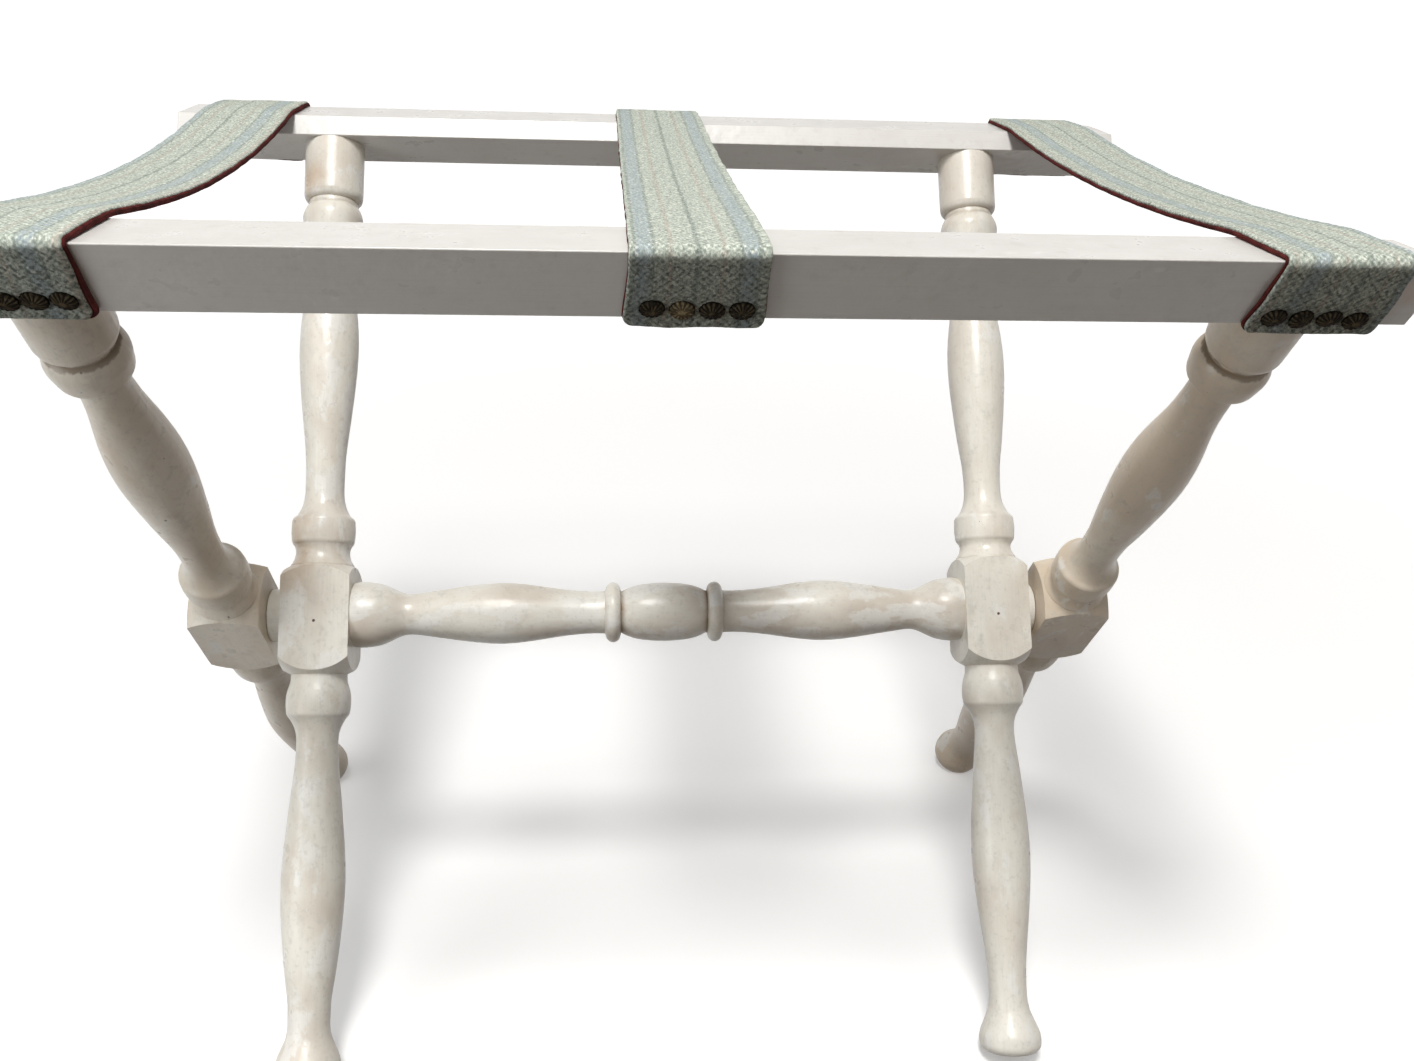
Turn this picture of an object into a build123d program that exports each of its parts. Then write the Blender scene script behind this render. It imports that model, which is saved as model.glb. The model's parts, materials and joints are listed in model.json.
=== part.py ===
from build123d import *
import os
from math import cos, radians, sin, sqrt, tan

# Folding luggage rack: two crossed frames of turned legs that pivot on one turned stretcher,
# with three cloth straps from rail to rail.
# Frame of the part: X along the rails, +Y to the back, +Z up, origin on the floor under the middle.
# All lengths are in millimetres, at rest: the rack stands open and the straps are in place.

# ---- driving dimensions ----
LEAN = 34.2                 # each leg to the vertical when open, degrees
RAIL_LENGTH = 624.0
RAIL_WIDTH = 38.0           # across the rail's bottom, square to the leg
RAIL_OUTER_HEIGHT = 39.2    # outer face, along the leg
RAIL_EDGE = 0.6             # rounding of the rail's long edges
LEG_ABOVE_PIVOT = 312.0     # pivot axis to the rail's bottom, along the leg
LEG_BELOW_PIVOT = 277.0     # pivot axis to the end of the foot, along the leg
BLOCK = 41.6                # square block at the pivot
BLOCK_LOWER_END = 35.0      # pivot to the block's lower end, on the middle of a face
BLOCK_CORNER_CUT = 6.8      # how much shorter the block's corners are than its faces
CUP_RADIUS = 19.0
RING_RADIUS = 19.1
BEAD_RADIUS = 19.6
NECK_RADIUS = 16.5
FOOT_RADIUS = 19.0
FOOT_ROUND = 6.2            # rounding under the foot's rim
WORN_LAND = 0.66            # depth worn flat where a foot meets the floor
LEG_TENON_RADIUS = 9.5
LEG_TENON_LENGTH = 13.0

# Each leg is turned by hand: its place along X, the upper end of its block on the middle of
# a face, how far its upper and lower vases are shifted up, and how much fuller they are.
LEG_X = {"inner_left": -215.6, "inner_right": 213.8, "outer_left": -266.2, "outer_right": 261.2}
BLOCK_UPPER_END = {"inner_left": 29.6, "inner_right": 32.2, "outer_left": 32.0, "outer_right": 32.0}
UPPER_SHIFT = {"inner_left": 5.0, "inner_right": -4.0, "outer_left": 3.0, "outer_right": -5.0}
UPPER_FULLER = {"inner_left": -0.2, "inner_right": 0.0, "outer_left": 0.3, "outer_right": -0.3}
LOWER_SHIFT = {"inner_left": -5.0, "inner_right": 5.0, "outer_left": 0.0, "outer_right": 0.0}
LOWER_FULLER = {"inner_left": 0.3, "inner_right": -0.3, "outer_left": 0.0, "outer_right": 0.0}

SPINDLE_RADIUS = 8.0        # the stretcher's round ends, which are the pivots
SPINDLE_RUNNING_GAP = 0.06  # radial clearance where the outer legs turn
SPINDLE_IN_OUTER_BLOCK = 32.0
WASHER_RADIUS = 16.5
WASHER_GAP = 0.3            # free play beside the outer block
STRETCHER_RING_X = 32.6
STRETCHER_RING_RADIUS = 19.3
BARREL_RADIUS = 18.8
LOCK_PIN_RADIUS = 0.9
LOCK_PIN_LENGTH = 24.0

STRAP_WIDTH = 59.0
STRAP_X = {"left": -268.0, "middle": 0.0, "right": 270.0}
STRAP_SAG = {"left": 12.0, "middle": 3.0, "right": 8.0}
LINING = 1.1                # thickness of the red lining
COVER = 2.1                 # thickness of the tweed
LINING_EDGE = 0.8           # how far the lining shows beside the tweed
FRONT_DROP = {"left": 0.8, "middle": 2.3, "right": 2.8}    # hem below the rail's outer face
BACK_DROP = -1.2
STRAP_LIP = 3.0             # how far the nailed ends reach past the rail's inner edge
STRAP_GAP = 0.35            # free space between the straps' moving lengths
FOLD_Y = {"left": 2.05, "middle": 1.75, "right": 2.15}     # where each strap creases in two

NAIL_RADIUS = 5.55
NAIL_HEIGHT = 2.9
NAIL_SHANK_RADIUS = 0.9
NAIL_SHANK_LENGTH = 14.0
FRONT_NAIL_UP = {"left": 9.7, "middle": 9.2, "right": 7.7}  # above the face's lower edge
BACK_NAIL_UP = 9.6
NAILS = 4                   # at each end of each strap
NAIL_PITCH = {"left": 11.3, "middle": 12.4, "right": 12.4}
NAIL_CENTRE = {"left": -265.7, "middle": 0.0, "right": 266.0}

# ---- derived dimensions ----
A = radians(LEAN)
RAIL_INNER_HEIGHT = RAIL_OUTER_HEIGHT - RAIL_WIDTH * tan(A)
FOOT_FLAT_RADIUS = FOOT_RADIUS - FOOT_ROUND
FOOT_REACH = (LEG_BELOW_PIVOT - FOOT_ROUND) * cos(A) + FOOT_FLAT_RADIUS * sin(A) + FOOT_ROUND
PIVOT_Z = FOOT_REACH - WORN_LAND
STRAP_THICKNESS = LINING + COVER


def front_point(out, up):
    """Y and Z of a point of the outer frame, from its distance in front of the leg's axis
    and its distance along the leg from the pivot."""
    return (-out * cos(A) - up * sin(A), PIVOT_Z - out * sin(A) + up * cos(A))


RAIL_BOTTOM_FRONT = front_point(RAIL_WIDTH / 2, LEG_ABOVE_PIVOT)
RAIL_BOTTOM_BACK = front_point(-RAIL_WIDTH / 2, LEG_ABOVE_PIVOT)
RAIL_TOP_FRONT = front_point(RAIL_WIDTH / 2, LEG_ABOVE_PIVOT + RAIL_OUTER_HEIGHT)
RAIL_TOP_BACK = front_point(-RAIL_WIDTH / 2, LEG_ABOVE_PIVOT + RAIL_INNER_HEIGHT)
RAIL_TOP_Z = RAIL_TOP_FRONT[1]
SPAN_Y = -RAIL_TOP_BACK[0] - STRAP_LIP      # half the free length between the nailed ends


def leg_placement(side):
    """Places a shape made along +Z from the pivot: side -1 leans it to the front, 1 to the back."""
    return Pos(0, 0, PIVOT_Z) * Rot(-side * LEAN, 0, 0)


def write(node, shape):
    shape.label = node
    export_step(shape, "parts/" + node + ".step")


# ---- turned legs ----
def turned(outline, *sizes):
    """Turns an outline in the XZ plane about Z."""
    with BuildPart() as part:
        with BuildSketch(Plane.XZ):
            with BuildLine():
                outline(*sizes)
            make_face()
        revolve(axis=Axis.Z)
    return part.part


def upper_turning(shoulder, shift, fuller):
    """Cup, groove, ring, vase, bead and neck above the block, with the tenon for the rail."""
    top = LEG_ABOVE_PIVOT
    Polyline((0, 20), (0, top + LEG_TENON_LENGTH), (LEG_TENON_RADIUS, top + LEG_TENON_LENGTH),
             (LEG_TENON_RADIUS, top), (CUP_RADIUS, top), (CUP_RADIUS - 0.2, 277.5))
    Spline([(CUP_RADIUS - 0.2, 277.5), (18.1, 274.8), (15.4, 272.6)],
           tangents=[(-0.05, -1), (-1, -0.5)])
    Line((15.4, 272.6), (15.4, 269.8))
    Spline([(15.4, 269.8), (18.0, 266.2), (RING_RADIUS, 261.2), (18.1, 254.6), (11.6, 246.8)],
           tangents=[(1, -0.6), (-1, -0.45)])
    Spline([(11.6, 246.8), (13.2 + fuller, 220 + shift), (16.7 + fuller, 197 + shift),
            (18.7 + fuller, 171 + shift), (17.2 + fuller, 141 + shift),
            (13.9 + fuller, 110 + shift), (11.9, 80)], tangents=[(0.03, -1), (0, -1)])
    Spline([(11.9, 80), (12.8, 71), (15.0, 65), (18.0, 61.4)], tangents=[(0, -1), (1, -0.6)])
    ThreePointArc((18.0, 61.4), (19.0, 60.1), (19.3, 58.2))
    ThreePointArc((19.3, 58.2), (BEAD_RADIUS, 52.6), (19.2, 47))
    ThreePointArc((19.2, 47), (18.9, 45.4), (18.0, 44.1))
    neck = (NECK_RADIUS, shoulder + 8.6)
    Spline([(18.0, 44.1), neck, (17.3, shoulder + 5), (19.4, shoulder + 1.4)],
           tangents=[(-0.8, -1), (0.7, -1)])
    Polyline((19.4, shoulder + 1.4), (19.4, 20), (0, 20))


def lower_turning(shift, fuller):
    """Neck, bead, long vase and rounded foot below the block."""
    end = -LEG_BELOW_PIVOT
    Polyline((0, -28), (NECK_RADIUS + 0.5, -28), (NECK_RADIUS + 0.5, -38.5))
    Spline([(NECK_RADIUS + 0.5, -38.5), (17.2, -42), (18.7, -46.8)],
           tangents=[(-0.1, -1), (0.25, -1)])
    ThreePointArc((18.7, -46.8), (BEAD_RADIUS, -53.6), (19.1, -60.2))
    ThreePointArc((19.1, -60.2), (18.8, -61.8), (17.9, -63.2))
    waist = (12.0 + fuller * 1.2, -240)
    Spline([(17.9, -63.2), (15.3, -67.0), (13.1, -72.5), (12.5, -79)],
           tangents=[(-0.9, -1), (0, -1)])
    Spline([(12.5, -79), (14.2 + fuller, -101 + shift), (17.1 + fuller, -130 + shift),
            (18.7 + fuller, -158 + shift), (17.2 + fuller, -187 + shift),
            (13.9 + fuller, -216 + shift), waist], tangents=[(0, -1), (0, -1)])
    Spline([waist, (13.1, -252), (16.4, -260), (18.4, -265), (FOOT_RADIUS, end + FOOT_ROUND)],
           tangents=[(0, -1), (0, -1)])
    CenterArc((FOOT_FLAT_RADIUS, end + FOOT_ROUND), FOOT_ROUND, 0, -90)
    Polyline((FOOT_FLAT_RADIUS, end), (0, end), (0, -28))


def block_turning(upper_end):
    """Domed ends that cut the square block's corners back."""
    half_face = BLOCK / 2
    half_corner = BLOCK / sqrt(2)
    cut = BLOCK_CORNER_CUT + 0.4
    upper = [(NECK_RADIUS, upper_end + 2.2), (half_face, upper_end),
             (half_corner + 0.5, upper_end - cut)]
    lower = [(NECK_RADIUS, -BLOCK_LOWER_END - 2.4), (half_face, -BLOCK_LOWER_END),
             (half_corner + 0.5, cut + 1.6 - BLOCK_LOWER_END)]
    ThreePointArc(*upper)
    Line(upper[2], lower[2])
    ThreePointArc(*reversed(lower))
    Polyline(lower[0], (0, lower[0][1]), (0, upper[0][1]), upper[0])


def leg(name, side, bore_gap, bore_from, bore_to):
    """One leg at its place; the spindle's bore runs along X between two places."""
    x = LEG_X[name]
    upper_end = BLOCK_UPPER_END[name]
    block = Box(BLOCK, BLOCK, 2 * BLOCK_LOWER_END + 10) & turned(block_turning, upper_end)
    body = turned(upper_turning, upper_end, UPPER_SHIFT[name], UPPER_FULLER[name]) + block
    body += turned(lower_turning, LOWER_SHIFT[name], LOWER_FULLER[name])
    body = Pos(x, 0, 0) * body
    bore_length = bore_to - bore_from
    bore = Cylinder(SPINDLE_RADIUS + bore_gap, bore_length, rotation=(0, 90, 0))
    body = leg_placement(side) * (body - Pos((bore_from + bore_to) / 2, 0, 0) * bore)
    floor = Pos(x, 0, -20) * Box(200, 900, 40)
    return body - floor


def inner_leg(side):
    x = LEG_X["inner_" + side]
    reach = BLOCK / 2 + 1
    shape = leg("inner_" + side, 1, 0, x - reach, x + reach)
    return shape - lock_pin(side)


def outer_leg(hand, side):
    near_face = LEG_X["outer_" + side] - hand * BLOCK / 2
    ends = sorted([near_face - hand, near_face + hand * (SPINDLE_IN_OUTER_BLOCK + 1)])
    shape = leg("outer_" + side, -1, SPINDLE_RUNNING_GAP, ends[0], ends[1])
    return shape - nail_shanks(side, "front")


# ---- stretcher, washers and lock pins ----
def stretcher_half(block_face, end):
    """Half outline from the middle of the barrel to the end of the spindle."""
    ring = STRETCHER_RING_X
    Line((0, 0), (BARREL_RADIUS, 0))
    Spline([(BARREL_RADIUS, 0), (18.2, 11), (16.4, 20.5), (13.2, ring - 5.2)],
           tangents=[(0, 1), (-0.6, 1)])
    Line((13.2, ring - 5.2), (15.3, ring - 4.6))
    ThreePointArc((15.3, ring - 4.6), (STRETCHER_RING_RADIUS, ring), (15.3, ring + 4.6))
    Line((15.3, ring + 4.6), (13.6, ring + 5.2))
    Spline([(13.6, ring + 5.2), (13.7, 51.0), (16.4, 74.0), (19.4, 101.0), (17.2, 128.0),
            (13.6, 152.0), (13.2, 163.0), (15.9, 170.0), (19.6, 179.0), (20.6, 186.0),
            (19.9, block_face)], tangents=[(-0.05, 1), (-0.3, 1)])
    Polyline((19.9, block_face), (SPINDLE_RADIUS, block_face), (SPINDLE_RADIUS, end),
             (0, end), (0, 0))


def stretcher_reach(side):
    """Lengths from the barrel's middle to the inner block and to the spindle's end."""
    block_face = abs(LEG_X["inner_" + side]) - BLOCK / 2
    end = abs(LEG_X["outer_" + side]) - BLOCK / 2 + SPINDLE_IN_OUTER_BLOCK
    return (block_face, end)


def stretcher():
    right = turned(stretcher_half, *stretcher_reach("right"))
    left = mirror(turned(stretcher_half, *stretcher_reach("left")), about=Plane.XY)
    whole = Pos(0, 0, PIVOT_Z) * Rot(0, 90, 0) * (right + left)
    return whole - lock_pin("right") - lock_pin("left")


def washer(hand, side):
    inside = abs(LEG_X["inner_" + side]) + BLOCK / 2
    length = abs(LEG_X["outer_" + side]) - BLOCK / 2 - WASHER_GAP - inside
    ring = Cylinder(WASHER_RADIUS, length, rotation=(0, 90, 0))
    ring = fillet(ring.edges().filter_by(GeomType.CIRCLE), 0.8)
    ring -= Cylinder(SPINDLE_RADIUS, length + 2, rotation=(0, 90, 0))
    return Pos(hand * (inside + length / 2), 0, PIVOT_Z) * ring


def lock_pin(side):
    """Pin driven square into the block's front face, through the spindle."""
    start = Pos(LEG_X["inner_" + side], 0, 0)
    pin = Cylinder(LOCK_PIN_RADIUS, LOCK_PIN_LENGTH, rotation=(90, 0, 0))
    depth = -BLOCK / 2 + LOCK_PIN_LENGTH / 2
    return leg_placement(1) * start * Pos(0, depth, -5.0) * pin


# ---- rails ----
def rail_blank():
    with BuildPart() as part:
        with BuildSketch(Plane.YZ):
            with BuildLine():
                Polyline(RAIL_BOTTOM_FRONT, RAIL_BOTTOM_BACK, RAIL_TOP_BACK, RAIL_TOP_FRONT,
                         close=True)
            make_face()
        extrude(amount=RAIL_LENGTH / 2, both=True)
        fillet(part.edges().filter_by(Axis.X), RAIL_EDGE)
    return part.part


def rail(legs, end):
    """Rail, lying at the front, with the mortises of its two legs and the holes of its nails."""
    shape = rail_blank()
    for side in ("left", "right"):
        mortise = Pos(LEG_X[legs + side], 0, LEG_ABOVE_PIVOT + LEG_TENON_LENGTH / 2 - 1)
        hole = Cylinder(LEG_TENON_RADIUS, LEG_TENON_LENGTH + 2)
        shape -= leg_placement(-1) * mortise * hole
    for name in STRAP_X:
        shape -= nail_shanks(name, end)
    return shape


# ---- straps ----
def hem_drop(name, end):
    return FRONT_DROP[name] if end == "front" else BACK_DROP


def arc_height(y, sag, rise):
    """Height of a sagging layer at y: rise is its distance above the strap's underside."""
    radius = (SPAN_Y ** 2 + sag ** 2) / (2 * sag)
    centre = RAIL_TOP_Z - sag + radius
    return centre - sqrt((radius - rise) ** 2 - y ** 2)


def span(name, low, high, start, end, width):
    """One sagging length of a layer between two places along Y."""
    sag = STRAP_SAG[name]
    middle = (start + end) / 2

    def point(y, rise):
        return (y, arc_height(y, sag, rise))

    with BuildPart() as part:
        with BuildSketch(Plane.YZ):
            with BuildLine():
                ThreePointArc(point(start, low), point(middle, low), point(end, low))
                Line(point(end, low), point(end, high))
                ThreePointArc(point(end, high), point(middle, high), point(start, high))
                Line(point(start, high), point(start, low))
            make_face()
        extrude(amount=width / 2, both=True)
    return Pos(STRAP_X[name], 0, 0) * part.part


def wrap(name, end, low, high, width):
    """One layer over the front rail's top and down its outer face, nailed near its end,
    with the hem and the nail holes of either end of the strap."""
    edge_y, edge_z = RAIL_TOP_FRONT
    lip_y = -SPAN_Y - STRAP_GAP / 2

    def arc_point(radius, angle):
        return (edge_y + radius * cos(angle), edge_z + radius * sin(angle))

    up = radians(90)
    outward = radians(180) + A
    half_way = (up + outward) / 2
    reach = RAIL_OUTER_HEIGHT + hem_drop(name, end)

    def hem(radius):
        y, z = arc_point(radius, outward)
        return (y + reach * sin(A), z - reach * cos(A))

    with BuildPart() as part:
        with BuildSketch(Plane.YZ):
            with BuildLine():
                Line((lip_y, edge_z + low), (lip_y, edge_z + high))
                Line((lip_y, edge_z + high), (edge_y, edge_z + high))
                ThreePointArc(arc_point(high, up), arc_point(high, half_way),
                              arc_point(high, outward))
                Polyline(arc_point(high, outward), hem(high), hem(low), arc_point(low, outward))
                if low > 0:
                    ThreePointArc(arc_point(low, outward), arc_point(low, half_way),
                                  arc_point(low, up))
                Line(arc_point(low, up), (lip_y, edge_z + low))
            make_face()
        extrude(amount=width / 2, both=True)
    return Pos(STRAP_X[name], 0, 0) * part.part - nail_shanks(name, end)


def leg_cup(side):
    """The top of an outer leg, which the hanging hem of a side strap lies against."""
    cup = Pos(LEG_X["outer_" + side], 0, LEG_ABOVE_PIVOT - 15) * Cylinder(CUP_RADIUS, 30)
    return leg_placement(-1) * cup


def strap_layers():
    """Name, lower face, upper face and width of the two cloths of a strap."""
    return [("lining", 0.0, LINING, STRAP_WIDTH + 2 * LINING_EDGE),
            ("tweed", LINING, STRAP_THICKNESS, STRAP_WIDTH)]


# ---- nails ----
def nail_places(name):
    pitch = NAIL_PITCH[name]
    first = NAIL_CENTRE[name] - pitch * (NAILS - 1) / 2
    return [first + pitch * number for number in range(NAILS)]


def at_nail(name, x, end, out):
    """Placement on the outer face at a nail, with Z pointing out of the rail."""
    up = FRONT_NAIL_UP[name] if end == "front" else BACK_NAIL_UP
    y, z = front_point(RAIL_WIDTH / 2 + out, LEG_ABOVE_PIVOT + up)
    return Pos(x, y, z) * Rot(90 + LEAN, 0, 0)


def nail_shanks(name, end):
    shank = Cylinder(NAIL_SHANK_RADIUS, NAIL_SHANK_LENGTH + 2)
    middle = STRAP_THICKNESS + 1 - NAIL_SHANK_LENGTH / 2
    return [at_nail(name, x, end, middle) * shank for x in nail_places(name)]


def nail():
    """Domed nail with its head's underside at the origin and its shank along -Z."""
    dome = (NAIL_RADIUS ** 2 + NAIL_HEIGHT ** 2) / (2 * NAIL_HEIGHT)
    head = Sphere(dome) & Pos(0, 0, dome) * Box(30, 30, 2 * NAIL_HEIGHT)
    head = Pos(0, 0, NAIL_HEIGHT - dome) * head
    shank = Pos(0, 0, -NAIL_SHANK_LENGTH / 2) * Cylinder(NAIL_SHANK_RADIUS, NAIL_SHANK_LENGTH)
    return head + shank


def nail_row(name, end):
    heads = [at_nail(name, x, end, STRAP_THICKNESS) * nail() for x in nail_places(name)]
    return Compound(children=heads)


# ---- all nodes ----
def to_back(shape):
    return mirror(shape, about=Plane.XZ)


def main():
    os.makedirs("parts", exist_ok=True)
    for hand, side in ((-1, "left"), (1, "right")):
        write("inner_leg_" + side, inner_leg(side))
        write("outer_leg_" + side, outer_leg(hand, side))
        write("pivot_washer_" + side, washer(hand, side))
    write("stretcher", stretcher())
    write("stretcher_lock_pins", Compound(children=[lock_pin("left"), lock_pin("right")]))
    write("front_rail", rail("outer_", "front"))
    write("back_rail", to_back(rail("inner_", "back")))
    half_gap = STRAP_GAP / 2
    for name in STRAP_X:
        fold_y = FOLD_Y[name]
        for layer, low, high, width in strap_layers():
            label = "strap_" + name + "_" + layer
            front_end = wrap(name, "front", low, high, width)
            write(label + "_front_end", front_end - leg_cup("left") - leg_cup("right"))
            write(label + "_back_end", to_back(wrap(name, "back", low, high, width)))
            write(label + "_front_span",
                  span(name, low, high, -SPAN_Y + half_gap, fold_y - half_gap, width))
            write(label + "_back_span",
                  span(name, low, high, fold_y + half_gap, SPAN_Y - half_gap, width))
        write("nails_" + name + "_front", nail_row(name, "front"))
        write("nails_" + name + "_back", to_back(nail_row(name, "back")))


main()
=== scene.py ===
import json
from math import cos, exp, pi, radians, sin, sqrt

import bpy
import numpy as np
from mathutils import Matrix, Vector, noise


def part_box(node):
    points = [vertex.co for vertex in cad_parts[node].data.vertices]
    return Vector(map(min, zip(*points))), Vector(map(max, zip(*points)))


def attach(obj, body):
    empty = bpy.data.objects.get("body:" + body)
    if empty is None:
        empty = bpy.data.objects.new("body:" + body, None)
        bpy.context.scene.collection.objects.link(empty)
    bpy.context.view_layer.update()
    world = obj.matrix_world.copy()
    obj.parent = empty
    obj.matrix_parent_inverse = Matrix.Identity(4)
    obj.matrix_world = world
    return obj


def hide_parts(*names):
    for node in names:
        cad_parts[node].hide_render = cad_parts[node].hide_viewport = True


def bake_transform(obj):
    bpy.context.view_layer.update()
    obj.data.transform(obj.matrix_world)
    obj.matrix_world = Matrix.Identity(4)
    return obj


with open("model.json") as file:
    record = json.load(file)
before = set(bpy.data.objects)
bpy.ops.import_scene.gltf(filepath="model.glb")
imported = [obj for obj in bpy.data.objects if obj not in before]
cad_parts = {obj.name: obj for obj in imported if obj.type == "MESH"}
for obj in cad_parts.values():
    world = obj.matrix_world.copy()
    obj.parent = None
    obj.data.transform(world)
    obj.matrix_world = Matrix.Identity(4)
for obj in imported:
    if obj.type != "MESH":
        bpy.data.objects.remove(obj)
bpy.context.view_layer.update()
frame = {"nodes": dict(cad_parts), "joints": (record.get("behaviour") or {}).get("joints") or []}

# The folding luggage rack: the CAD wood keeps its shape and gets worn paint, and the straps and
# nails are replaced by woven cloth and fluted nail heads. All lengths are in metres.

# ---- sizes shared with the CAD model ----
LEAN = radians(34.2)
RAIL_WIDTH = 0.038
RAIL_OUTER_HEIGHT = 0.0392
RAIL_EDGE = 0.0006
STRAP_THICKNESS = 0.0032
LINING = 0.0011
FRONT_DROP = {"left": 0.0008, "middle": 0.0023, "right": 0.0028}
BACK_DROP = -0.0012
STRAP_LIP = 0.003
STRAPS = ("left", "middle", "right")
STRAP_SAG = {"left": 0.012, "middle": 0.003, "right": 0.008}
NAIL_RADIUS = 0.00555
NAIL_HEIGHT = 0.0029
FRONT_NAIL_UP = {"left": 0.0097, "middle": 0.0092, "right": 0.0077}
BACK_NAIL_UP = 0.0096
NAILS = 4
NAIL_PITCH = {"left": 0.0113, "middle": 0.0124, "right": 0.0124}
NAIL_CENTRE = {"left": -0.2657, "middle": 0.0, "right": 0.2660}

# ---- places read from the frame ----
JOINTS = {joint["name"]: joint for joint in frame["joints"]}
PIVOT = Vector(JOINTS["fold"]["pos_m"])
RAIL_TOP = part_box("front_rail")[1][2]
FACE_OUT = Vector((0, -cos(LEAN), -sin(LEAN)))      # out of the front rail's outer face
FACE_UP = Vector((0, -sin(LEAN), cos(LEAN)))        # up along the same face
RAIL_TOP_UP = (RAIL_TOP - PIVOT.z + RAIL_WIDTH / 2 * sin(LEAN)) / cos(LEAN)
EDGE = PIVOT + FACE_OUT * RAIL_WIDTH / 2 + FACE_UP * RAIL_TOP_UP    # the rail's top front edge
RAIL_TOP_DEPTH = RAIL_WIDTH / cos(LEAN)
SPAN = -EDGE.y - RAIL_TOP_DEPTH - STRAP_LIP


# ---- shader building ----
class Shader:
    """A procedural material, put together node by node."""

    def __init__(self, name):
        self.material = bpy.data.materials.new(name)
        self.material.use_nodes = True
        self.tree = self.material.node_tree
        self.surface = self.tree.nodes["Principled BSDF"]

    def node(self, kind, inputs=None, **settings):
        node = self.tree.nodes.new("ShaderNode" + kind)
        for key, value in settings.items():
            setattr(node, key, value)
        for key, value in (inputs or {}).items():
            self.put(value, node.inputs[key])
        return node

    def put(self, value, socket):
        if isinstance(value, bpy.types.NodeSocket):
            self.tree.links.new(value, socket)
        elif isinstance(value, tuple) and len(value) == 3 and socket.type == "RGBA":
            socket.default_value = (*value, 1.0)
        else:
            socket.default_value = value

    def math(self, operation, a, b=0.0, c=0.0, clamp=False):
        node = self.node("Math", {0: a, 1: b, 2: c}, operation=operation, use_clamp=clamp)
        return node.outputs[0]

    def vector(self, operation, a, b):
        node = self.node("VectorMath", {0: a, 1: b}, operation=operation)
        return node.outputs["Value" if operation == "DOT_PRODUCT" else "Vector"]

    def join(self, x, y, z=0.0):
        return self.node("CombineXYZ", {0: x, 1: y, 2: z}).outputs[0]

    def step(self, value, low, high):
        """0 below low, 1 above high, smooth between them."""
        node = self.node("MapRange", {"Value": value, "From Min": low, "From Max": high},
                         interpolation_type="SMOOTHSTEP")
        return node.outputs["Result"]

    def mix(self, factor, a, b, blend="MIX"):
        node = self.node("Mix", data_type="RGBA", blend_type=blend)
        for value, socket in ((factor, node.inputs[0]), (a, node.inputs[6]), (b, node.inputs[7])):
            self.put(value, socket)
        return node.outputs[2]

    def noise(self, vector, scale, detail=2.0, roughness=0.5, out="Fac"):
        inputs = {"Vector": vector, "Scale": scale, "Detail": detail, "Roughness": roughness}
        return self.node("TexNoise", inputs).outputs[out]

    def spread(self, vector, scale, amount):
        """A smooth random offset with a total spread of amount."""
        value = self.vector("SUBTRACT", self.noise(vector, scale, out="Color"), (0.5, 0.5, 0.5))
        return self.vector("MULTIPLY", value, (amount, amount, amount))

    def cells(self, vector, scale):
        """Distance to the nearest cell's point and that cell's random colour."""
        node = self.node("TexVoronoi", {"Vector": vector, "Scale": scale})
        return node.outputs["Distance"], node.outputs["Color"]

    def bump(self, height, distance, strength=1.0):
        inputs = {"Height": height, "Distance": distance, "Strength": strength}
        return self.node("Bump", inputs).outputs["Normal"]

    def finish(self, color, roughness, normal, **plain):
        self.put(color, self.surface.inputs["Base Color"])
        self.put(roughness, self.surface.inputs["Roughness"])
        self.put(normal, self.surface.inputs["Normal"])
        for key, value in plain.items():
            self.put(value, self.surface.inputs[key.replace("_", " ")])
        return self.material


# ---- worn paint ----
CREAM = (0.775, 0.745, 0.665)
BEIGE = (0.62, 0.55, 0.465)
FRESH_WHITE = (0.81, 0.805, 0.77)
# warmer copies of the cream and beige for the outer legs: painted warm shade
SHADE_WARM_CREAM = (0.80, 0.735, 0.625)
SHADE_WARM_BEIGE = (0.66, 0.55, 0.42)
RAIL_WHITE = (0.69, 0.675, 0.645)
RAIL_GREY = (0.57, 0.54, 0.51)
SMUDGE = (0.49, 0.465, 0.42)
# dark brown for grime, and for painted shade in the hollows and under the cup
GRIME_AND_SHADE = (0.15, 0.095, 0.045)
STAIN = (0.50, 0.33, 0.19)
BARE_EDGE = (0.34, 0.19, 0.11)
SPECK = (0.11, 0.085, 0.065)


CUP_GROOVE = 269.6          # distance of the groove under the cup from the pivot, millimetres


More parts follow.
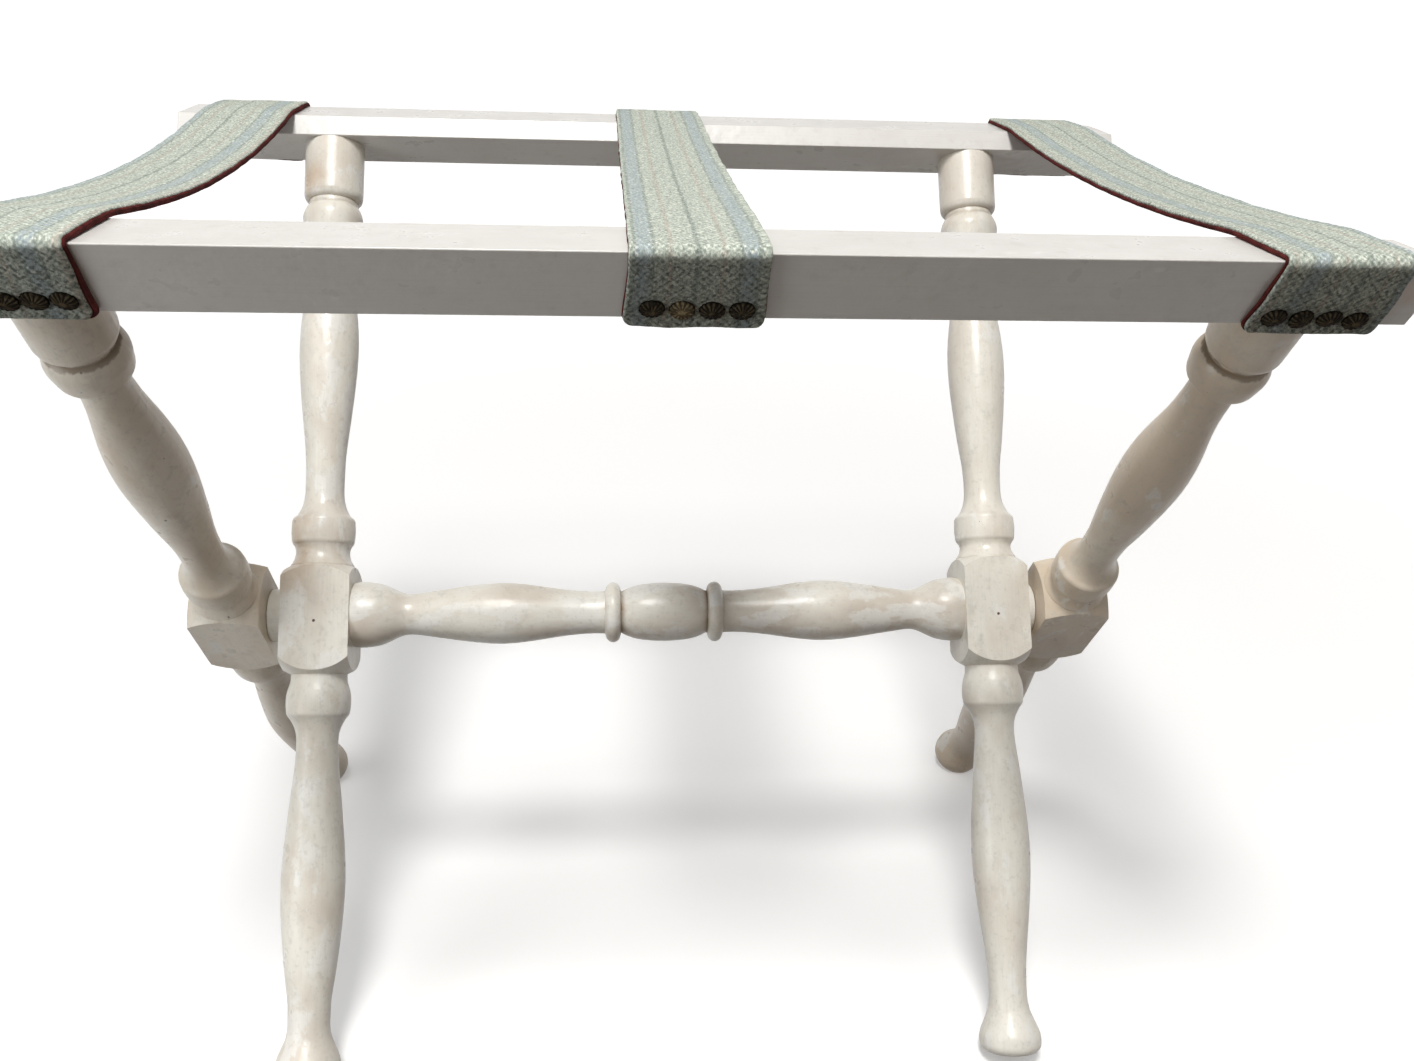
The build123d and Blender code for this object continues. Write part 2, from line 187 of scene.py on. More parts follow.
def painted_wood(name, along, across, seed, tint=0.35, mottle=1.0, patches=0.5, pits=0.5,
                 stains=(), groove_shadow=0.0, colors=(CREAM, BEIGE)):
    """Old glossy off-white paint: soft clouds of two colours, whiter touch-ups, smudges,
    pits, grime and painted shade in the hollows, and rubbed edges. along is the wood's
    length, in which the brush lines run, and across is at right angles to it. A stain is its
    centre along, across and third, from the pivot, and its radius, in millimetres.
    groove_shadow is how dark the painted shadow under the cup is."""
    shader = Shader(name)
    place = shader.node("TexCoord").outputs["Object"]
    place = shader.vector("SUBTRACT", place, tuple(PIVOT))
    third = along.cross(across)
    axes = [shader.vector("DOT_PRODUCT", place, tuple(axis * 1000))
            for axis in (along, across, third)]
    wood = shader.join(*axes)                       # millimetres, X along the wood
    local = shader.vector("ADD", wood, (seed * 97.0, seed * 31.0, seed * 53.0))
    drawn = shader.vector("MULTIPLY", local, (0.6, 1.0, 1.0))

    cloud = shader.math("SUBTRACT", shader.noise(drawn, 0.028, 3.0, 0.5), 0.5)
    tone = shader.math("MULTIPLY_ADD", cloud, 3.4 * mottle, tint, clamp=True)
    color = shader.mix(tone, *colors)
    soft = shader.step(shader.noise(drawn, 0.11, 4.0, 0.6), 0.46, 0.74)
    color = shader.mix(shader.math("MULTIPLY", soft, 0.38 * mottle), color, colors[1])

    limit = 0.66 - 0.18 * patches
    touch_up = shader.noise(shader.vector("ADD", drawn, (40.0, 0.0, 0.0)), 0.05, 5.0, 0.6)
    touch_up = shader.step(touch_up, limit, limit + 0.07)
    color = shader.mix(shader.math("MULTIPLY", touch_up, 0.6), color, FRESH_WHITE)
    speckle = shader.step(shader.noise(local, 0.30, 3.0, 0.62), 0.54, 0.70)
    color = shader.mix(shader.math("MULTIPLY", speckle, 0.32 * min(1.0, mottle)), color, SMUDGE)

    smudge = shader.step(shader.noise(local, 0.085, 5.0, 0.68), 0.53, 0.72)
    color = shader.mix(shader.math("MULTIPLY", smudge, 0.34), color, SMUDGE)
    lines = shader.vector("MULTIPLY", local, (0.025, 1.0, 1.0))
    grain = shader.noise(lines, 0.9, 4.0, 0.6)
    brushed = shader.step(grain, 0.46, 0.74)
    color = shader.mix(shader.math("MULTIPLY", brushed, 0.15), color, SMUDGE)

    cluster = shader.step(shader.noise(local, 0.03, 2.0), 0.40, 0.72)
    ragged_place = shader.vector("ADD", local, shader.spread(local, 0.6, 1.6))
    distance, cell = shader.cells(ragged_place, 0.17)
    cell = shader.vector("DOT_PRODUCT", cell, (1.0, 0.0, 0.0))
    size = shader.math("MULTIPLY", shader.math("SUBTRACT", cell, 0.94 - 0.5 * pits), 0.30)
    size = shader.math("MULTIPLY", size, cluster)
    pit = shader.step(shader.math("SUBTRACT", size, distance), 0.0, 0.03)
    color = shader.mix(shader.math("MULTIPLY", pit, 0.75), color, SPECK)

    # Hollows found by ambient occlusion get a brown stain, then a dark mix that is part grime and
    # part painted shade.
    occlusion = shader.node("AmbientOcclusion", {"Distance": 0.007}, samples=8, only_local=True)
    occlusion = shader.math("SUBTRACT", 1.0, occlusion.outputs["AO"])
    dirt_and_shade = shader.step(shader.noise(local, 0.06, 4.0, 0.62), 0.30, 0.66)
    haze = shader.math("MULTIPLY", shader.step(occlusion, 0.06, 0.55), dirt_and_shade)
    color = shader.mix(shader.math("MULTIPLY", haze, 0.45), color, STAIN)
    dirt_and_shade = shader.math("MULTIPLY_ADD", dirt_and_shade, 0.45, 0.50)
    dirt_and_shade = shader.math("MULTIPLY", shader.step(occlusion, 0.26, 0.62), dirt_and_shade)
    color = shader.mix(shader.math("MULTIPLY", dirt_and_shade, 0.85), color, GRIME_AND_SHADE)
    # Painted shadow: a dark ragged band round the groove under the cup, where the cup shades the
    # ring.
    if groove_shadow:
        offset = shader.math("SUBTRACT", axes[0], CUP_GROOVE)
        ragged = shader.math("SUBTRACT", shader.noise(local, 0.16, 4.0, 0.65), 0.5)
        offset = shader.math("ABSOLUTE", shader.math("MULTIPLY_ADD", ragged, 4.5, offset))
        amount = shader.math("MULTIPLY", shader.step(offset, 2.2, 0.9), groove_shadow)
        color = shader.mix(amount, color, GRIME_AND_SHADE)
    for centre_along, centre_across, centre_out, radius in stains:
        offset = shader.vector("SUBTRACT", wood, (centre_along, centre_across, centre_out))
        reach = shader.math("SQRT", shader.vector("DOT_PRODUCT", offset, offset))
        reach = shader.math("MULTIPLY_ADD", shader.noise(local, 0.09, 3.0), radius * 1.1, reach)
        amount = shader.math("MULTIPLY", shader.step(reach, radius * 1.6, radius * 0.7), 0.5)
        color = shader.mix(amount, color, STAIN)

    bevel = shader.node("Bevel", {"Radius": 0.0008}, samples=4)
    straight = shader.node("NewGeometry").outputs["Normal"]
    edge = shader.vector("DOT_PRODUCT", bevel.outputs["Normal"], straight)
    edge = shader.math("SUBTRACT", 1.0, edge)
    rubbed = shader.step(shader.noise(local, 0.12, 4.0, 0.7), 0.45, 0.62)
    edge = shader.math("MULTIPLY", shader.step(edge, 0.04, 0.2), rubbed)
    color = shader.mix(shader.math("MULTIPLY", edge, 0.5), color, BARE_EDGE)

    height = shader.math("MULTIPLY", grain, 0.30)
    height = shader.math("MULTIPLY_ADD", shader.noise(local, 0.8, 3.0, 0.6), 0.20, height)
    height = shader.math("MULTIPLY_ADD", touch_up, 0.35, height)
    height = shader.math("MULTIPLY_ADD", shader.noise(local, 0.13, 2.0), 1.6, height)
    height = shader.math("MULTIPLY_ADD", pit, -0.7, height)
    normal = shader.bump(height, 0.00022, 0.8)
    gloss = shader.noise(local, 0.06, 3.0, 0.6)
    roughness = shader.math("MULTIPLY_ADD", gloss, 0.30, 0.17)
    roughness = shader.math("MULTIPLY_ADD", haze, 0.25, roughness)
    return shader.finish(color, roughness, normal, Specular_IOR_Level=0.5)


def paint(node, material):
    for slot in frame["nodes"][node].material_slots:
        slot.material = material


def iron():
    """Dull iron pin heads with a film of rust."""
    shader = Shader("iron_pin")
    place = shader.node("TexCoord").outputs["Object"]
    rust = shader.step(shader.noise(place, 1400.0, 3.0), 0.4, 0.7)
    color = shader.mix(rust, (0.09, 0.075, 0.065), (0.19, 0.09, 0.045))
    roughness = shader.math("MULTIPLY_ADD", rust, 0.3, 0.45)
    return shader.finish(color, roughness, shader.bump(rust, 0.0001), Metallic=0.7)


def paint_wood():
    x = Vector((1, 0, 0))
    upright = Vector((0, 0, 1))
    inner = Vector((0, sin(LEAN), cos(LEAN)))
    outer = Vector((0, -sin(LEAN), cos(LEAN)))
    shoulder = (30.0, -232.0, -21.0, 22.0)          # warm stains above the left inner block,
    collar = (52.0, -229.0, -12.0, 17.0)
    cup = (284.0, -228.0, -13.0, 15.0)              # on the cup of the same leg,
    rail_end = (307.0, 336.0, 19.0, 17.0)           # and on the front rail's right end
    # The outer legs are painted in the warmer copies of the paint: painted warm shade.
    warm = (SHADE_WARM_CREAM, SHADE_WARM_BEIGE)
    rail = (RAIL_WHITE, RAIL_GREY)
    paint("inner_leg_left", painted_wood(
        "paint_inner_leg_left", inner, x, 1.7, tint=0.20, mottle=1.0, patches=0.8, pits=0.6,
        stains=(shoulder, collar, cup), groove_shadow=0.2))
    paint("inner_leg_right", painted_wood(
        "paint_inner_leg_right", inner, x, 2.7, tint=0.16, mottle=0.9, patches=0.6, pits=0.7,
        groove_shadow=0.2))
    paint("outer_leg_left", painted_wood(
        "paint_outer_leg_left", outer, x, 4.8, tint=0.12, mottle=1.3, patches=0.35, pits=1.5,
        groove_shadow=0.75, colors=warm))
    paint("outer_leg_right", painted_wood(
        "paint_outer_leg_right", outer, x, 5.8, tint=0.85, mottle=1.2, patches=0.35, pits=0.8,
        groove_shadow=0.75, colors=warm))
    paint("stretcher", painted_wood(
        "paint_stretcher", x, upright, 7.3, tint=0.34, mottle=1.3, patches=0.9, pits=0.4))
    paint("front_rail", painted_wood(
        "paint_front_rail", x, FACE_UP, 9.1, tint=0.3, mottle=0.25, patches=0.0, pits=0.3,
        stains=(rail_end,), colors=rail))
    paint("back_rail", painted_wood(
        "paint_back_rail", x, FACE_UP, 12.9, tint=0.2, mottle=0.25, patches=0.0, pits=0.3,
        colors=rail))
    washer = painted_wood(
        "paint_washers", x, upright, 15.2, tint=0.05, mottle=0.4, patches=1.0, pits=0.2)
    paint("pivot_washer_left", washer)
    paint("pivot_washer_right", washer)
    paint("stretcher_lock_pins", iron())


# ---- cloth ----
SAGE = (0.49, 0.55, 0.475)
PALE_SAGE = (0.72, 0.76, 0.665)
MOSS = (0.20, 0.23, 0.19)
WOOL_CREAM = (0.92, 0.91, 0.83)
DUSTY_BLUE = (0.36, 0.45, 0.52)
TEAL_DARK = (0.10, 0.14, 0.13)
RUST = (0.46, 0.27, 0.20)
YARN = 1.45                 # pitch of the plain weave, millimetres
HALF_SETT = 21.2            # the stripes mirror at this distance across the cloth
SHADED_ENDS = 40.0               # length at each hanging end that is darker: painted shade


def tweed(name, phase, seed, length):
    """Fuzzy plain-woven wool: sage and cream flecks, with faint stripes along the strap.
    The stripes mirror about the phase, across the cloth, and the length is the strap's."""
    shader = Shader(name)
    uv = shader.node("UVMap", uv_map="Cloth").outputs["UV"]
    uv = shader.vector("MULTIPLY", uv, (1000.0, 1000.0, 0.0))
    from_hem = shader.node("SeparateXYZ", {0: uv}).outputs[1]
    uv = shader.vector("ADD", uv, (HALF_SETT * 10 - phase, 100.0, seed))
    swayed = shader.vector("ADD", uv, shader.spread(uv, 0.28, 2.2))
    swayed = shader.vector("ADD", swayed, shader.spread(uv, 1.2, 1.1))
    parts = shader.node("SeparateXYZ", {0: swayed})
    across, along = parts.outputs[0], parts.outputs[1]

    def wave(value, pitch):
        return shader.math("SINE", shader.math("MULTIPLY", value, pi / pitch))

    weave = shader.math("MULTIPLY", wave(across, YARN), wave(along, YARN))
    fuzz = shader.noise(shader.vector("MULTIPLY", uv, (1.0, 0.55, 1.0)), 0.95, 5.0, 0.75)
    height = shader.math("MULTIPLY_ADD", weave, 0.09, fuzz)
    warp_up = shader.step(height, 0.38, 0.66)

    mottle = shader.noise(uv, 0.5, 4.0, 0.7)
    check = shader.math("MULTIPLY", wave(across, 2.12), wave(along, 2.35))
    mottle = shader.math("MULTIPLY_ADD", check, 0.09, mottle)
    color = shader.mix(warp_up, SAGE, PALE_SAGE)
    color = shader.mix(shader.math("MULTIPLY", shader.step(mottle, 0.52, 0.32), 0.6), color, MOSS)

    sett = shader.math("PINGPONG", across, HALF_SETT)

    def stripe(centre, half_width):
        offset = shader.math("ABSOLUTE", shader.math("SUBTRACT", sett, centre))
        return shader.step(offset, half_width * 1.3, half_width * 0.5)

    broken = shader.step(shader.noise(uv, 0.5, 2.0, 0.6), 0.30, 0.55)
    stripes = ((HALF_SETT, 3.4, DUSTY_BLUE, 0.62), (0.0, 1.0, TEAL_DARK, 0.55),
               (17.4, 0.8, TEAL_DARK, 0.45), (10.5, 1.0, RUST, 0.32))
    for centre, half_width, tint, amount in stripes:
        worn = shader.math("MULTIPLY", stripe(centre, half_width), amount)
        color = shader.mix(shader.math("MULTIPLY", worn, broken), color, tint)

    row = shader.math("FLOOR", shader.math("DIVIDE", across, YARN * 2))
    dash = shader.noise(shader.join(shader.math("MULTIPLY", row, 3.7), along, seed), 0.30, 1.0)
    slub = shader.math("MULTIPLY", shader.step(dash, 0.56, 0.66), shader.step(height, 0.45, 0.75))
    color = shader.mix(shader.math("MULTIPLY", slub, 0.8), color, WOOL_CREAM)
    cream = shader.step(shader.noise(uv, 1.15, 2.0, 0.6), 0.60, 0.72)
    color = shader.mix(shader.math("MULTIPLY", cream, 0.6), color, WOOL_CREAM)

    # Painted shade: the cloth is darker where the weave lies low, patchy with the hair.
    hair = shader.noise(uv, 4.5, 3.0, 0.75)
    shade = shader.math("MULTIPLY_ADD", shader.step(height, 0.18, 0.75), 0.55, 0.55)
    shade = shader.math("MULTIPLY", shade, shader.math("MULTIPLY_ADD", hair, 0.8, 0.6))
    # The hanging ends, down the rails' faces, are darkened in patches: painted shade.
    other_end = shader.math("SUBTRACT", length * 1000, from_hem)
    near_end = shader.step(shader.math("MINIMUM", from_hem, other_end), SHADED_ENDS + 3.0, SHADED_ENDS - 3.0)
    end_shade = shader.math("MULTIPLY_ADD", shader.step(mottle, 0.32, 0.60), 0.45, 0.38)
    end_shade = shader.math("MULTIPLY", shader.math("SUBTRACT", 1.0, end_shade), near_end)
    shade = shader.math("MULTIPLY", shade, shader.math("SUBTRACT", 1.0, end_shade))
    color = shader.mix(1.0, color, shader.join(shade, shade, shade), "MULTIPLY")
    relief = shader.math("MULTIPLY_ADD", hair, 0.35, height)
    normal = shader.bump(relief, 0.0006, 0.7)
    roughness = shader.math("MULTIPLY_ADD", hair, 0.1, 0.88)
    return shader.finish(color, roughness, normal, Specular_IOR_Level=0.15, Sheen_Weight=0.12,
                         Sheen_Roughness=0.5)


def lining_cloth():
    """Felted red-brown cotton with a fine rib."""
    shader = Shader("red_lining")
    uv = shader.node("UVMap", uv_map="Cloth").outputs["UV"]
    uv = shader.vector("MULTIPLY", uv, (1000.0, 1000.0, 0.0))
    wear = shader.noise(uv, 0.12, 4.0, 0.65)
    color = shader.mix(shader.step(wear, 0.35, 0.7), (0.055, 0.010, 0.010), (0.135, 0.025, 0.021))
    thread = shader.noise(shader.vector("MULTIPLY", uv, (1.0, 3.0, 1.0)), 1.6, 3.0, 0.7)
    color = shader.mix(shader.math("MULTIPLY", shader.step(thread, 0.5, 0.8), 0.4), color,
                       (0.21, 0.052, 0.038))
    normal = shader.bump(thread, 0.0003, 0.8)
    roughness = shader.math("MULTIPLY_ADD", thread, 0.1, 0.85)
    return shader.finish(color, roughness, normal, Specular_IOR_Level=0.1)


# ---- the straps' path ----
PATH_STEP = 0.0002
EXTRA = 0.008               # path drawn on past each hem
CLEARANCE = 0.0001
KINK_WINDOW = 0.012
RING = 0.00105              # distance between cross-sections


def sag_height(y, sag):
    """Height of the strap's underside over y, before the bend at the rail is eased."""
    if sag <= 0 or abs(y) >= SPAN:
        return RAIL_TOP
    radius = (SPAN ** 2 + sag ** 2) / (2 * sag)
    return RAIL_TOP - sag + radius - sqrt(radius ** 2 - y ** 2)


def eased_height(y, sag):
    steps = [KINK_WINDOW * (number / 8 - 0.5) for number in range(9)]
    return sum(sag_height(y + step, sag) for step in steps) / 9


class Path:
    """The strap's upper surface in the YZ plane from the front hem, at 0, to the back hem."""

    def __init__(self, sag, front_drop):
        turn = RAIL_EDGE * (1 + sin(LEAN)) / cos(LEAN)
        centre = Vector((0, EDGE.y + turn, EDGE.z - RAIL_EDGE))
        radius = RAIL_EDGE + CLEARANCE + STRAP_THICKNESS
        tangent = centre + FACE_OUT * radius
        below = RAIL_OUTER_HEIGHT + front_drop + (tangent - EDGE).dot(FACE_UP)
        shorter = front_drop - BACK_DROP
        points = []
        straight = below + EXTRA
        for number in range(int(straight / PATH_STEP)):
            points.append(tangent - FACE_UP * (straight - number * PATH_STEP))
        outward = pi + LEAN
        turns = int((outward - pi / 2) * radius / PATH_STEP)
        for number in range(turns):
            angle = outward + (pi / 2 - outward) * number / turns
            points.append(centre + radius * Vector((0, cos(angle), sin(angle))))
        level = int(-centre.y / PATH_STEP)
        for number in range(level + 1):
            y = centre.y * (1 - number / level)
            height = eased_height(y, sag) + CLEARANCE + STRAP_THICKNESS
            points.append(Vector((0, y, height)))
        half = np.array([(point.y, point.z) for point in points])
        back = half[-2::-1] * (-1, 1)
        self.places = np.vstack([half, back])
        steps = np.linalg.norm(np.diff(self.places, axis=0), axis=1)
        self.along = np.concatenate([[0], np.cumsum(steps)]) - EXTRA
        self.length = self.along[-1] - EXTRA - shorter
        heading = np.gradient(self.places, self.along, axis=0)
        heading /= np.linalg.norm(heading, axis=1)[:, None]
        self.normals = np.stack([-heading[:, 1], heading[:, 0]], axis=1)
        self.corner = below + radius * (outward - pi / 2) / 2
        self.face = {"front": below, "back": below - shorter}

    def at(self, distance):
        """Points and normals, as Y and Z, at distances from the front hem."""
        columns = [np.interp(distance, self.along, values)
                   for values in (*self.places.T, *self.normals.T)]
        return np.stack(columns[:2], axis=-1), np.stack(columns[2:], axis=-1)

    def where(self, y):
        """Distance from the front hem to the place over y, on the upper side."""
        top = self.along > self.corner
        top &= self.along < self.length - self.corner
        return float(np.interp(y, self.places[top, 0], self.along[top]))


# ---- the straps' cross-section ----
def section(half_width, thickness, base, columns, bead=0.0):
    """A closed outline from the middle of the underside to the left, over the top and back:
    X in half widths, X and height offsets in metres, and the distance round it.
    bead is the radius of the rolled edge, where it is more than half the thickness."""
    half = thickness / 2
    round_x = max(half, bead)
    left = []
    for number in range(5):
        left.append((-number / 5, 0.0, base))
    for number in range(9):
        angle = -pi / 2 - pi * number / 8
        rise = base + round_x if bead > half else base + half
        left.append((-1.0, round_x * cos(angle), rise + round_x * sin(angle)))
    top = []
    for number in range(1, columns):
        top.append((-1 + 2 * number / columns, 0.0, base + thickness))
    right = [(-x, -dx, height) for x, dx, height in reversed(left[1:])]
    outline = np.array(left + top + right)
    inner = half_width - round_x
    flat = np.stack([outline[:, 0] * inner + outline[:, 1], outline[:, 2]], axis=1)
    closed = np.vstack([flat, flat[:1]])
    steps = np.linalg.norm(np.diff(closed, axis=0), axis=1)
    distance = np.concatenate([[0], np.cumsum(steps)])
    return outline, round_x, distance - distance[-1] / 2


def closed_tube(name, rings, across, along, material):
    """A closed mesh through rings of points, with a UV map in metres, across and along."""
    count, sides = rings.shape[:2]
    vertices = rings.reshape(-1, 3)
    faces = []
    corners = []
    for ring in range(count - 1):
        low, high = ring * sides, (ring + 1) * sides
        for side in range(sides):
            after = (side + 1) % sides
            faces.append((low + side, low + after, high + after, high + side))
            corners += [(across[side], along[ring]), (across[side + 1], along[ring]),
                        (across[side + 1], along[ring + 1]), (across[side], along[ring + 1])]
    first = tuple(range(sides - 1, -1, -1))
    last = tuple((count - 1) * sides + side for side in range(sides))
    for cap, ring in ((first, 0), (last, count - 1)):
        faces.append(cap)
        corners += [(across[vertex % sides], along[ring]) for vertex in cap]
    mesh = bpy.data.meshes.new(name)
    mesh.from_pydata(vertices.tolist(), [], faces)
    uv = mesh.uv_layers.new(name="Cloth")
    uv.data.foreach_set("uv", np.array(corners, dtype=np.float32).ravel())
    mesh.polygons.foreach_set("use_smooth", [True] * (len(faces) - 2) + [False] * 2)
    mesh.materials.append(material)
    mesh.update()
    sharp = mesh.attributes.new("sharp_edge", "BOOLEAN", "EDGE")
    ends = set(first) | set(last)
    pairs = [edge.vertices[0] in ends and edge.vertices[1] in ends for edge in mesh.edges]
    sharp.data.foreach_set("value", pairs)
    piece = bpy.data.objects.new(name, mesh)
    bpy.context.scene.collection.objects.link(piece)
    return piece


def lump(x, s, size, seed):
    """Smooth random value from about -1 to 1 at a place on the cloth."""
    return noise.noise(Vector((x / size, s / size, seed)))


HEM_CORNER = 0.0048         # radius of the rounded corners at the hems
FRONT_END = -0.115          # Y at which each front piece meets the middle piece


class Strap:
    """One strap: where its edges, hems and dimples lie."""

    def __init__(self, name, top_half, hem_half, top_x, hem_x, lining_top, lining_hem, bead, phase,
                 seed, lining_cover):
        self.name = name
        self.path = Path(STRAP_SAG[name], FRONT_DROP[name])
        self.nail_line = {"front": FRONT_DROP[name] + FRONT_NAIL_UP[name],
                          "back": BACK_DROP + BACK_NAIL_UP}        # hem to nail centres
        self.top_half, self.hem_half = top_half, hem_half
        self.top_x, self.hem_x = top_x, hem_x
        self.lining_top, self.lining_hem, self.bead = lining_top, lining_hem, bead
        self.seed = seed
        self.cover = tweed("tweed_" + name, phase, seed, self.path.length)
        self.lining_cover = lining_cover

    def from_hem(self, s):
        """Distance to the nearer hem, and which end of the strap that is."""
        other = self.path.length - s
        return (s, "front") if s < other else (other, "back")

    def spread(self, s):
        """Middle and half width of the tweed, and how far the lining shows beside it:
        the cloth fans out a little down the rails' faces."""
        d, end = self.from_hem(s)
        down = max(0.0, 1 - d / self.path.face[end])
        down = down * down * (3 - 2 * down)
        middle = self.top_x + (self.hem_x - self.top_x) * down
        half = self.top_half + (self.hem_half - self.top_half) * down
        lining = self.lining_top + (self.lining_hem - self.lining_top) * down
        return middle, half, lining

    def hem_wave(self, x, s):
        """How far the hem hangs lower at x, fading out up the rail's face."""
        d, end = self.from_hem(s)
        sign = 1 if end == "front" else -1
        return -sign * exp(-(d / 0.010) ** 2) * 0.0011 * lump(x, 3.0 * sign, 0.017, self.seed + 5)

    def puff(self, x, s):
        """How far the cloth stands off its path: slack over the faces, drawn in at the nails."""
        d, end = self.from_hem(s)
        face = self.path.face[end]
        value = 0.00022 * lump(x, s, 0.0032, self.seed) + 0.0004 * lump(x, s, 0.022, self.seed + 9)
        if d < face:
            value += 0.0007 * sin(pi * d / face) ** 2
            value += 0.0007 * max(0.0, 1 - d / 0.006) ** 2
            for place in nail_places(self.name):
                reach = ((x - place) ** 2 + (d - self.nail_line[end]) ** 2) / 0.0075 ** 2
                value -= 0.0010 * exp(-1.5 * reach)
        else:
            curl = (x - self.top_x) / self.top_half
            value += 0.0007 * curl ** 4 * min(1.0, (d - face) / 0.03)
        return value


def strap_piece(strap, layer, part, start, end, knuckle=False):
    """One length of the tweed or the lining between two distances along the strap's path.
    With a knuckle it ends in a rounded edge about the lining's lower corner."""
    path = strap.path
    is_tweed = layer == "tweed"
    thickness = STRAP_THICKNESS - LINING if is_tweed else LINING
    base = LINING if is_tweed else 0.0
    margin = 0.0 if is_tweed else strap.lining_top
    bead = 0.0 if is_tweed else strap.bead
    columns = 46 if is_tweed else 16
    outline, round_x, across = section(strap.top_half + margin, thickness, base, columns, bead)
    places = list(np.arange(start, end, RING))
    if end - places[-1] < RING / 2:
        places.pop()
    places.append(end)
    hem_ring = [0.00012, 0.0003, 0.0006]
    if start == 0.0:
        places = [0.0] + hem_ring + places[1:]
    if end == path.length:
        places = places[:-1] + [end - step for step in reversed(hem_ring)] + [end]
    rings = []
    half_thickness = STRAP_THICKNESS / 2
    for s in places:
        d, _ = strap.from_hem(s)
        middle, half, lining = strap.spread(s)
        if d < HEM_CORNER:
            half -= HEM_CORNER - sqrt(HEM_CORNER ** 2 - (HEM_CORNER - d) ** 2)
        wander = 0.0005 * lump(0.0, s, 0.012, strap.seed + 2)
        other = 0.0005 * lump(1.0, s, 0.012, strap.seed + 3)
        slim = 1.0
        if d < half_thickness:
            slim = max(0.12, sqrt(1 - (1 - d / half_thickness) ** 2))
        inner = half - round_x + (0.0 if is_tweed else lining)
        shift = np.where(outline[:, 0] < 0, wander, other) * np.abs(outline[:, 0])
        x = middle + outline[:, 0] * inner + outline[:, 1] + shift
        height = outline[:, 2] - STRAP_THICKNESS
        height = -half_thickness + (height + half_thickness) * slim
        wave = np.array([strap.hem_wave(value, s) for value in x])
        puff = np.array([strap.puff(value, s) for value in x])
        puff = np.where(outline[:, 2] < 0.0005, puff * 0.2, puff)
        points, normals = path.at(s + wave)
        points = points + normals * (height + puff)[:, None]
        rings.append(np.column_stack([x, points]))
    along = list(places)
    if knuckle:
        corner, out = path.at(np.array([end]))
        hinge = corner[0] - out[0] * STRAP_THICKNESS
        forward = np.array([out[0][1], -out[0][0]])
        flat = rings[-1]
        for angle in np.radians(np.arange(9, 73, 9)):
            ring = flat.copy()
            offset = flat[:, 1:] - hinge
            rise = offset @ out[0] * 0.97
            outward = np.outer(rise * cos(angle), out[0])
            ring[:, 1:] = hinge + outward + np.outer(rise * sin(angle), forward)
            rings.append(ring)
            along.append(end + STRAP_THICKNESS * angle)
    material = strap.cover if is_tweed else strap.lining_cover
    name = "_".join(("strap", strap.name, layer, part))
    piece = closed_tube(name, np.array(rings)[:, ::-1], -across[::-1], along, material)
    flat = (2 * (strap.top_half + margin), along[-1] - along[0])
    return piece, flat


def make_strap(strap):
    path = strap.path
    label = "strap_" + strap.name
    meeting = path.where(FRONT_END)
    hinge = path.where(SPAN - 0.0002)
    for layer in ("lining", "tweed"):
        node = label + "_" + layer
        piece, flat = strap_piece(strap, layer, "front", 0.0, meeting)
        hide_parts(node + "_front_end")
        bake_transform(piece)

        piece, flat = strap_piece(strap, layer, "middle", meeting, hinge, knuckle=True)
        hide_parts(node + "_front_span", node + "_back_span")
        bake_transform(piece)

        piece, flat = strap_piece(strap, layer, "back", hinge, path.length)
        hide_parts(node + "_back_end")
        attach(piece, "inner_frame")


def make_straps():
    red = lining_cloth()
    straps = [
        Strap("left", 0.0280, 0.0296, -0.2672, -0.2706, 0.0012, 0.0026, 0.00105, 5.0, 11.3, red),
        Strap("middle", 0.0282, 0.0296, -0.0003, -0.0008, 0.0002, 0.0005, 0.0006, 0.0, 23.9, red),
        Strap("right", 0.0282, 0.0298, 0.2672, 0.2676, 0.0007, 0.0010, 0.0007, -8.0, 37.1, red),
    ]
    for strap in straps:
        make_strap(strap)


# ---- nails ----
FLUTES = 14
BUTTON = 0.24               # radius of the plain middle of a head, as a part of the head's
NAIL_TILT = 0.05            # standard deviation of a nail's tilt, radians
NAIL_WANDER = 0.00045       # and of its height on the rail
RIM_UNDER = 0.0004          # how far the heads reach into the cloth


def nail_places(name):
    first = NAIL_CENTRE[name] - NAIL_PITCH[name] * (NAILS - 1) / 2
    return [first + NAIL_PITCH[name] * number for number in range(NAILS)]


def brass(name, light, dark, seed):
    """Antique brass: nearly black in the flutes, rubbed on the ridges."""
    shader = Shader(name)
    place = shader.node("TexCoord").outputs["Object"]
    rubbed = shader.node("Attribute", attribute_name="ridge").outputs["Fac"]
    patch = shader.noise(shader.vector("ADD", place, (seed, 0.0, 0.0)), 420.0, 3.0, 0.6)
    rubbed = shader.step(rubbed, 0.45, 0.95)
    amount = shader.math("MULTIPLY", rubbed, shader.step(patch, 0.35, 0.65))
    color = shader.mix(amount, dark, light)
    verdigris = shader.step(shader.noise(place, 900.0, 2.0), 0.62, 0.8)
    color = shader.mix(shader.math("MULTIPLY", verdigris, 0.25), color, (0.10, 0.14, 0.10))
    roughness = shader.math("MULTIPLY_ADD", patch, 0.35, 0.22)
    normal = shader.bump(shader.noise(place, 1800.0, 3.0), 0.00008, 0.7)
    return shader.finish(color, roughness, normal, Metallic=0.85, Specular_IOR_Level=0.25,
                         Specular_Tint=(0.30, 0.25, 0.18))


